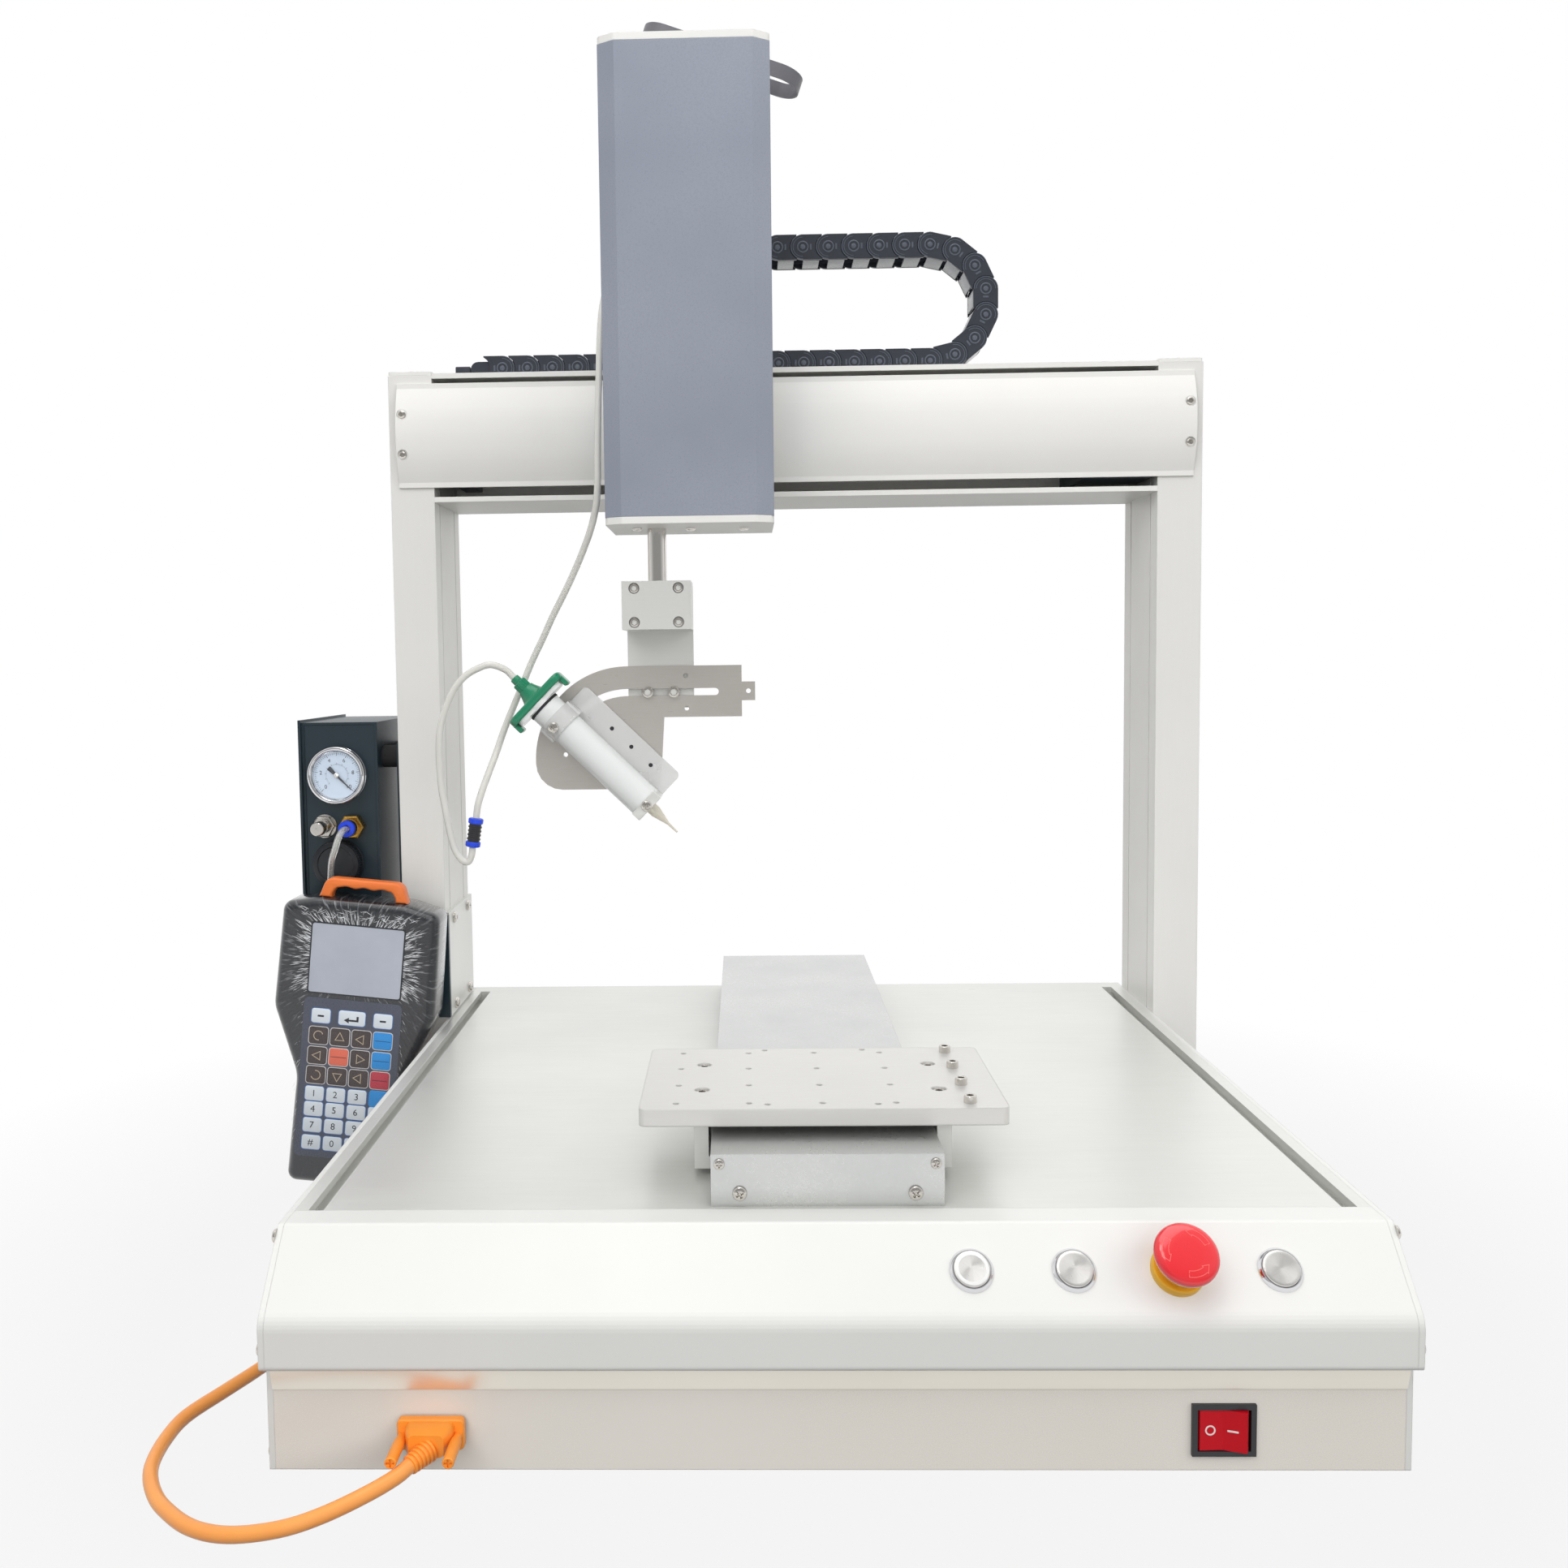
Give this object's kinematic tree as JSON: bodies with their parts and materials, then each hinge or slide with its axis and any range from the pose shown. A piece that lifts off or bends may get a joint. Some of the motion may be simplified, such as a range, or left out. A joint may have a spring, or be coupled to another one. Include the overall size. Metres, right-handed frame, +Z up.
{
  "type": "desktop dispensing robot",
  "caption": "Benchtop gantry robot with a moving work plate, a tilted syringe on its head, a dispensing controller and a wired teach pendant.",
  "frame": {"origin": "middle of the base's four feet, on the table", "axes": "+X to the right of an operator in front, +Y away from the operator, +Z up"},
  "size_m": [0.716, 0.6076, 0.89],
  "materials": {
    "white_paint": "satin",
    "cream_paint": "satin",
    "plain_aluminium": "fine blasted",
    "bright_steel": "ground",
    "zinc_sheet": "galvanised",
    "grey_paint": "satin",
    "black_plastic": "fine grain",
    "black_paint": "satin",
    "dark_grey_plastic": "fine grain",
    "orange_plastic": "moulded",
    "orange_cable": "smooth",
    "red_plastic": "moulded",
    "yellow_plastic": "moulded",
    "white_plastic": "moulded",
    "clear_tube": "clear hose",
    "black_rubber": "matt",
    "green_plastic": "moulded",
    "tan_plastic": "moulded",
    "chrome_trim": "polished",
    "brass_fitting": "turned",
    "green_board": "solder mask"
  },
  "bodies": {
    "frame": {"base_pan": "cream_paint", "side_panels": "cream_paint", "front_console": "white_paint", "deck_plate": "plain_aluminium", "rubber_feet": "black_rubber", "columns": "plain_aluminium", "column_caps": "white_paint", "x_beam": "white_paint", "beam_cover": "white_paint", "guide_rails": "bright_steel", "axis_motors": "black_paint", "y_cover": "zinc_sheet", "electronics": "green_board", "button_bezels": "bright_steel", "estop_collar": "yellow_plastic", "panel_sockets": "black_plastic", "controller_case": "black_paint", "controller_panel": "black_paint", "pressure_gauge": "chrome_trim", "panel_fittings": "brass_fitting", "column_bracket": "black_paint", "clamp_plate": "plain_aluminium", "pendant_body": "dark_grey_plastic", "pendant_handle": "orange_plastic", "pendant_keypad": "white_plastic", "pendant_cable": "orange_cable", "cable_plug": "orange_plastic", "energy_chain": "black_plastic", "outlet_tube": "clear_tube", "case_screws": "bright_steel"},
    "x_carriage": {"x_carriage": "plain_aluminium", "z_housing": "grey_paint", "z_end_plates": "white_paint", "z_motor": "black_paint", "supply_tube": "clear_tube"},
    "z_slide": {"z_slide": "plain_aluminium", "tube_connector": "black_plastic"},
    "tool": {"r_shaft": "bright_steel", "clamp_block": "plain_aluminium", "drop_plate": "plain_aluminium", "arc_bracket": "plain_aluminium", "syringe_holder": "plain_aluminium", "syringe_barrel": "white_plastic", "syringe_adapter": "green_plastic", "needle": "tan_plastic", "syringe_tube": "clear_tube"},
    "stage": {"y_carriage": "plain_aluminium", "work_plate": "plain_aluminium", "plate_screws": "bright_steel"},
    "start_button": {"start_button": "bright_steel"},
    "pause_button": {"pause_button": "bright_steel"},
    "reset_button": {"reset_button": "bright_steel"},
    "estop_head": {"estop_head": "red_plastic"},
    "rocker": {"rocker": "red_plastic"},
    "gauge_pointer": {"gauge_pointer": "black_paint"},
    "regulator_knob": {"regulator_knob": "black_plastic"},
    "vacuum_knob": {"vacuum_knob": "bright_steel"},
    "x_screw": {"x_screw": "bright_steel"},
    "y_screw": {"y_screw": "bright_steel"},
    "z_screw": {"z_screw": "bright_steel"}
  },
  "joints": [
    {"name": "x_travel", "type": "slide", "parent": "frame", "child": "x_carriage", "axis": [1, 0, 0], "range_m": [-0.07, 0.23], "deforming": ["energy_chain"]},
    {"name": "y_travel", "type": "slide", "parent": "frame", "child": "stage", "axis": [0, 1, 0], "range_m": [0, 0.3]},
    {"name": "z_travel", "type": "slide", "parent": "x_carriage", "child": "z_slide", "axis": [0, 0, 1], "range_m": [-0.1, 0], "deforming": ["supply_tube"]},
    {"name": "r_turn", "type": "hinge", "parent": "z_slide", "child": "tool", "pos_m": [-0.103, 0.106, 0.5], "axis": [0, 0, 1], "range_deg": [-180, 180], "deforming": ["syringe_tube", "supply_tube"]},
    {"name": "start_push", "type": "slide", "parent": "frame", "child": "start_button", "axis": [0, 0.7071, -0.7071], "range_m": [0, 0.002], "stiffness_N_per_m": 500, "springref_m": -0.002},
    {"name": "pause_push", "type": "slide", "parent": "frame", "child": "pause_button", "axis": [0, 0.7071, -0.7071], "range_m": [0, 0.002], "stiffness_N_per_m": 500, "springref_m": -0.002},
    {"name": "reset_push", "type": "slide", "parent": "frame", "child": "reset_button", "axis": [0, 0.7071, -0.7071], "range_m": [0, 0.002], "stiffness_N_per_m": 500, "springref_m": -0.002},
    {"name": "estop_push", "type": "slide", "parent": "frame", "child": "estop_head", "axis": [0, 0.7071, -0.7071], "range_m": [0, 0.004]},
    {"name": "rocker_tip", "type": "hinge", "parent": "frame", "child": "rocker", "pos_m": [0.189, -0.257, 0.031], "axis": [0, 0, 1], "range_deg": [0, 16]},
    {"name": "pointer_turn", "type": "hinge", "parent": "frame", "child": "gauge_pointer", "pos_m": [-0.362, 0.1615, 0.321], "axis": [0, 1, 0], "range_deg": [0, 270], "stiffness_Nm_per_rad": 0.0005, "springref_deg": -17.19},
    {"name": "regulator_turn", "type": "hinge", "parent": "frame", "child": "regulator_knob", "pos_m": [-0.363, 0.158, 0.251], "axis": [0, 1, 0], "range_deg": [-720, 720]},
    {"name": "vacuum_turn", "type": "hinge", "parent": "frame", "child": "vacuum_knob", "pos_m": [-0.3745, 0.152, 0.28], "axis": [0, 1, 0], "range_deg": [-720, 720]},
    {"name": "x_screw_spin", "type": "hinge", "parent": "frame", "child": "x_screw", "pos_m": [0, 0.1905, 0.565], "axis": [1, 0, 0], "continuous": true},
    {"name": "y_screw_spin", "type": "hinge", "parent": "frame", "child": "y_screw", "pos_m": [0, 0, 0.0915], "axis": [0, 1, 0], "continuous": true},
    {"name": "z_screw_spin", "type": "hinge", "parent": "x_carriage", "child": "z_screw", "pos_m": [-0.045, 0.106, 0.64], "axis": [0, 0, 1], "continuous": true}
  ],
  "couplings": [
    {"joint": "x_screw_spin", "follows": "x_travel", "rad_per_m": 314.16},
    {"joint": "y_screw_spin", "follows": "y_travel", "rad_per_m": 314.16},
    {"joint": "z_screw_spin", "follows": "z_travel", "rad_per_m": 628.32}
  ]
}
